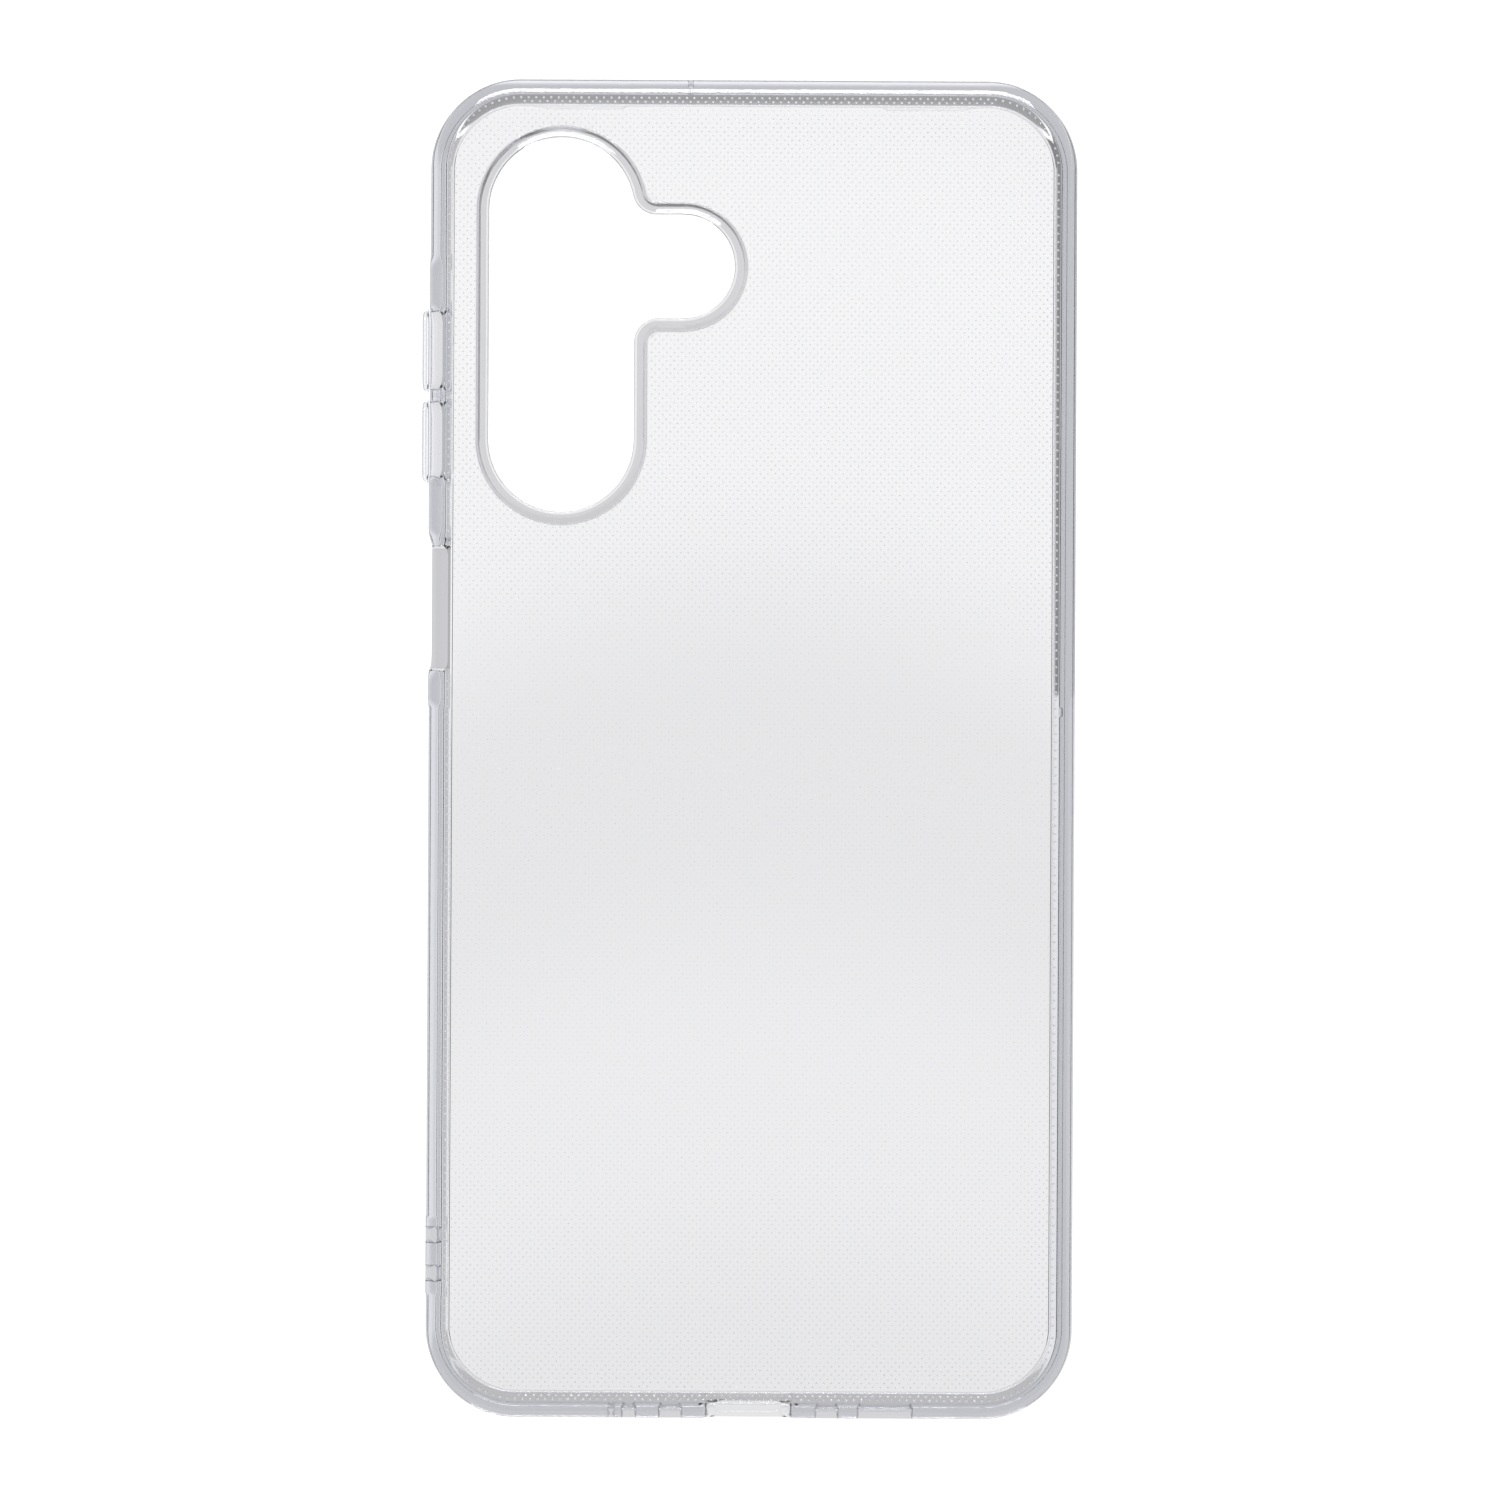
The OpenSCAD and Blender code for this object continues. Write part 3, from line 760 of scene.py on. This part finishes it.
def clear_tpu(name, tint, roughness, haze=0.0, joins=False):
    """Clear, faintly cool urethane with a moulded, slightly wavy surface. Faces with the painted-shade
    number get painted shade, a greyer colour, and, where it joins, faces with the number "joined" bend the
    light less."""
    material = bpy.data.materials.new(name)
    material.use_nodes = True
    nodes, links = material.node_tree.nodes, material.node_tree.links
    shader = nodes["Principled BSDF"]
    shader.inputs["Transmission Weight"].default_value = 1 - haze

    def by_face(attribute, low, high):
        """A number that goes from low to high with a number that the faces carry."""
        carried = nodes.new("ShaderNodeAttribute")
        carried.attribute_name = attribute
        ramp = nodes.new("ShaderNodeMapRange")
        ramp.inputs["To Min"].default_value = low
        ramp.inputs["To Max"].default_value = high
        links.new(carried.outputs["Fac"], ramp.inputs["Value"])
        return ramp.outputs["Result"]

    shader.inputs["IOR"].default_value = TPU_IOR
    if joins:
        links.new(by_face("joined", TPU_IOR, 1.0), shader.inputs["IOR"])
    colour = nodes.new("ShaderNodeMix")
    colour.data_type = "RGBA"
    colour.inputs["A"].default_value = (*tint, 1)
    colour.inputs["B"].default_value = (*PAINTED_SHADE_TINT, 1)
    # Painted shade: faces carrying its number take a grey colour in place of the clear tint
    links.new(by_face("thick", 0, 1), colour.inputs["Factor"])
    links.new(colour.outputs["Result"], shader.inputs["Base Color"])
    coordinates = nodes.new("ShaderNodeTexCoord")
    noise = nodes.new("ShaderNodeTexNoise")
    noise.inputs["Scale"].default_value = 60
    noise.inputs["Detail"].default_value = 3
    links.new(coordinates.outputs["Object"], noise.inputs["Vector"])
    rough = nodes.new("ShaderNodeMapRange")
    rough.inputs["To Min"].default_value = roughness * 0.7
    rough.inputs["To Max"].default_value = roughness * 1.3
    links.new(noise.outputs["Fac"], rough.inputs["Value"])
    links.new(rough.outputs["Result"], shader.inputs["Roughness"])
    bump = nodes.new("ShaderNodeBump")
    bump.inputs["Strength"].default_value = 0.04
    bump.inputs["Distance"].default_value = 0.2 * MM
    links.new(noise.outputs["Fac"], bump.inputs["Height"])
    links.new(bump.outputs["Normal"], shader.inputs["Normal"])
    return material


def paint(obj, material):
    """Gives every face of an object one material."""
    obj.data.materials.clear()
    obj.data.materials.append(material)
    for face in obj.data.polygons:
        face.material_index = 0


def mark_ring(obj, marker):
    """Marks the underside of the camera window's ring, which gets painted shade to look greyer than the
    back.
    """
    obj.data.materials.append(marker)
    lowest, highest = CAVITY_Z + 0.2 * MM, RING_Z - RING_RIM - 0.01 * MM
    for face in obj.data.polygons:
        if face.normal.z < -0.5 and lowest < face.center.z < highest:
            face.material_index = len(obj.data.materials) - 1


def set_finish(obj, material):
    """Turns the markers on the faces into the numbers that the clear material reads."""
    markers = [slot.name for slot in obj.data.materials]
    joined, thick = [], []
    for face in obj.data.polygons:
        marker = markers[face.material_index]
        port_end = abs(face.normal.x) > 0.3
        window_end = abs(face.normal.z) < 0.7
        bends_less = {
            "seam": SEAM, "bore": HOLE_SIDE, "gate": HOLE_SIDE, "window": WINDOW_SIDE,
            "port": HOLE_SIDE if port_end else 0.0}
        # Painted shade greys the ring's underside, the gate, the bores and the side window's level faces
        painted_grey = {"ring": 1.0, "gate": 1.0, "bore": 0.5, "window": 0.0 if window_end else 1.0}
        joined.append(bends_less.get(marker, 0.0))
        thick.append(painted_grey.get(marker, 0.0))
    for name, numbers in (("joined", joined), ("thick", thick)):
        obj.data.attributes.new(name, "FLOAT", "FACE").data.foreach_set("value", numbers)
    paint(obj, material)


def add_depth_tint(material, colour, density):
    """Light is taken up along its way through the material, so edges look darker than the thin panel."""
    nodes, links = material.node_tree.nodes, material.node_tree.links
    volume = nodes.new("ShaderNodeVolumeAbsorption")
    volume.inputs["Color"].default_value = (*colour, 1)
    volume.inputs["Density"].default_value = density
    links.new(volume.outputs["Volume"], nodes["Material Output"].inputs["Volume"])


# ---------------------------------------------------------------- the case

SHELL_NODES = frame["record"]["behaviour"]["bodies"]["shell"]

shell_tpu = clear_tpu("clear_tpu", (0.988, 0.988, 0.997), 0.02, joins=True)
add_depth_tint(shell_tpu, (0.26, 0.28, 0.37), 60)
dot_tpu = clear_tpu("micro_dot_tpu", (0.97, 0.97, 0.98), 0.15, haze=0.05)
plain, seam, bore, port, window, ring, gate = [
    bpy.data.materials.new(name) for name in ("plain", "seam", "bore", "port", "window", "ring", "gate")]

shell = mesh_object("case_shell", *shell_mesh())
make_normals_outward(shell)
paint(shell, plain)
mark_ring(shell, ring)
cut(shell, [web_cutter()], plain)
cut(shell, key_cutters(), seam)
cut(shell, [port_cutter()], port)
cut(shell, [side_key_cutter()], window)
cut(shell, bore_cutters(), bore)
cut(shell, [gate_cutter()], gate)
set_finish(shell, shell_tpu)
smooth(shell)
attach(shell, "shell")
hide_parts(*SHELL_NODES)

key_piece("volume_up_key", "volume_up_pad")
key_piece("volume_down_key", "volume_down_pad")

ceiling_places, bevel_places = dot_places()
for dots in (ceiling_dots(ceiling_places), bevel_dots(bevel_places)):
    make_normals_outward(dots)
    paint(dots, dot_tpu)
    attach(dots, "shell")


# ---------------------------------------------------------------- floor, light and camera

def pale_floor():
    """A table that is plain white where the camera sees it directly. The clear case and all reflections
    show a glow of its own instead: an even painted shadow under the case, and other levels beyond each
    side, painted light and shade that give the walls their tones. The level beyond the right side changes
    at one place along it."""
    bpy.ops.mesh.primitive_circle_add(vertices=96, radius=8, fill_type="NGON", location=(0, 0, -0.00005))
    floor = bpy.context.object
    floor.name = "floor"
    material = bpy.data.materials.new("white_table")
    material.use_nodes = True
    nodes, links = material.node_tree.nodes, material.node_tree.links
    shader = nodes["Principled BSDF"]
    shader.inputs["Base Color"].default_value = (0.30, 0.30, 0.30, 1)
    shader.inputs["Roughness"].default_value = 0.9
    shader.inputs["Specular IOR Level"].default_value = 0
    shader.inputs["Emission Color"].default_value = (1, 1, 1, 1)
    shader.inputs["Emission Strength"].default_value = 0.96
    position = nodes.new("ShaderNodeNewGeometry")
    parts = nodes.new("ShaderNodeSeparateXYZ")
    links.new(position.outputs["Position"], parts.inputs["Vector"])

    def step(value, start, end, low, high):
        """A smooth step of a value between two places."""
        ramp = nodes.new("ShaderNodeMapRange")
        ramp.interpolation_type = "SMOOTHSTEP"
        for name, number in (("From Min", start), ("From Max", end), ("To Min", low), ("To Max", high)):
            if hasattr(number, "links"):
                links.new(number, ramp.inputs[name])
            else:
                ramp.inputs[name].default_value = number
        links.new(value, ramp.inputs["Value"])
        return ramp.outputs["Result"]

    x, y = parts.outputs["X"], parts.outputs["Y"]
    right = step(y, GLOW_TURN_Y - 0.5 * MM, GLOW_TURN_Y + 0.5 * MM, GLOW_RIGHT_LOW, GLOW_RIGHT_UP)
    # Painted shadow of the case on the table, darker than the white that the camera sees
    level = PAINTED_SHADOW_UNDER
    for value, side, edge, away in (
        (x, HALF_W, EDGE_RIGHT, right), (x, -HALF_W, EDGE_LEFT, GLOW_LEFT),
        (y, HALF_L, EDGE_TOP, GLOW_TOP), (y, -HALF_L, EDGE_BOTTOM, GLOW_BOTTOM),
    ):
        out = math.copysign(1, side)
        beyond = step(value, side + 1 * MM * out, side + GLOW_FADE * out, edge, away)
        level = step(value, side - GLOW_TURN[0] * out, side - GLOW_TURN[1] * out, level, beyond)
    glow = nodes.new("ShaderNodeEmission")
    links.new(level, glow.inputs["Strength"])
    path = nodes.new("ShaderNodeLightPath")
    mix = nodes.new("ShaderNodeMixShader")
    links.new(path.outputs["Is Camera Ray"], mix.inputs["Fac"])
    links.new(glow.outputs["Emission"], mix.inputs[1])
    links.new(shader.outputs["BSDF"], mix.inputs[2])
    links.new(mix.outputs["Shader"], nodes["Material Output"].inputs["Surface"])
    floor.data.materials.append(material)


def studio_sky():
    """Light from all round, dim at the sides and bright overhead. A long soft lamp towards the top of the
    case shows in its upper half, and a dim gap straight overhead shows below its middle."""
    world = bpy.data.worlds.new("studio")
    bpy.context.scene.world = world
    world.use_nodes = True
    nodes, links = world.node_tree.nodes, world.node_tree.links
    coordinates = nodes.new("ShaderNodeTexCoord")
    parts = nodes.new("ShaderNodeSeparateXYZ")
    links.new(coordinates.outputs["Generated"], parts.inputs["Vector"])

    def ramp(value, stops):
        """Levels between 0 and 1 at places along a value."""
        node = nodes.new("ShaderNodeValToRGB")
        node.color_ramp.interpolation = "EASE"
        elements = node.color_ramp.elements
        while len(elements) < len(stops):
            elements.new(0.5)
        for element, (place, level) in zip(elements, stops):
            element.position = place
            element.color = (level, level, level, 1)
        links.new(value, node.inputs["Fac"])
        return node.outputs["Color"]

    around = ramp(parts.outputs["Z"], SKY_BY_HEIGHT)
    along = nodes.new("ShaderNodeMapRange")
    along.inputs["From Min"].default_value = -SKY_REACH
    along.inputs["From Max"].default_value = SKY_REACH
    across = nodes.new("ShaderNodeMath")
    across.operation = "MULTIPLY"
    links.new(parts.outputs["X"], across.inputs[0])
    links.new(parts.outputs["X"], across.inputs[1])
    bent = nodes.new("ShaderNodeMath")
    bent.operation = "MULTIPLY_ADD"
    bent.inputs[1].default_value = SKY_BEND
    links.new(across.outputs["Value"], bent.inputs[0])
    links.new(parts.outputs["Y"], bent.inputs[2])
    links.new(bent.outputs["Value"], along.inputs["Value"])
    overhead = ramp(along.outputs["Result"], SKY_OVERHEAD)
    height = nodes.new("ShaderNodeMapRange")
    height.interpolation_type = "SMOOTHSTEP"
    height.inputs["From Min"].default_value = 0.9
    height.inputs["From Max"].default_value = 0.96
    links.new(parts.outputs["Z"], height.inputs["Value"])
    mix = nodes.new("ShaderNodeMix")
    mix.data_type = "RGBA"
    links.new(height.outputs["Result"], mix.inputs["Factor"])
    links.new(around, mix.inputs["A"])
    links.new(overhead, mix.inputs["B"])
    background = nodes["Background"]
    links.new(mix.outputs["Result"], background.inputs["Color"])
    background.inputs["Strength"].default_value = SKY_STRENGTH


def softbox(name, place, size, energy):
    """A rectangular soft light that faces the case."""
    light = bpy.data.lights.new(name, "AREA")
    light.shape = "RECTANGLE"
    light.size, light.size_y = size
    light.energy = energy
    lamp = bpy.data.objects.new(name, light)
    lamp.location = place
    lamp.rotation_euler = (Vector(place) - Vector((0, 0, 0.005))).to_track_quat("Z", "Y").to_euler()
    bpy.context.scene.collection.objects.link(lamp)


def camera_overhead():
    """Looks straight down on the back, and is turned as the case lies in the picture."""
    data = bpy.data.cameras.new("camera")
    data.sensor_width = 36
    data.lens = CAMERA_LENS
    camera = bpy.data.objects.new("camera", data)
    camera.location = CAMERA_PLACE
    camera.rotation_euler = (0, 0, math.radians(CAMERA_TURN))
    bpy.context.scene.collection.objects.link(camera)
    bpy.context.scene.camera = camera


pale_floor()
studio_sky()
softbox("top_softbox", (0, 1.28, 0.74), (1.6, 0.5), 28)
camera_overhead()
bpy.context.scene.view_settings.view_transform = "Standard"
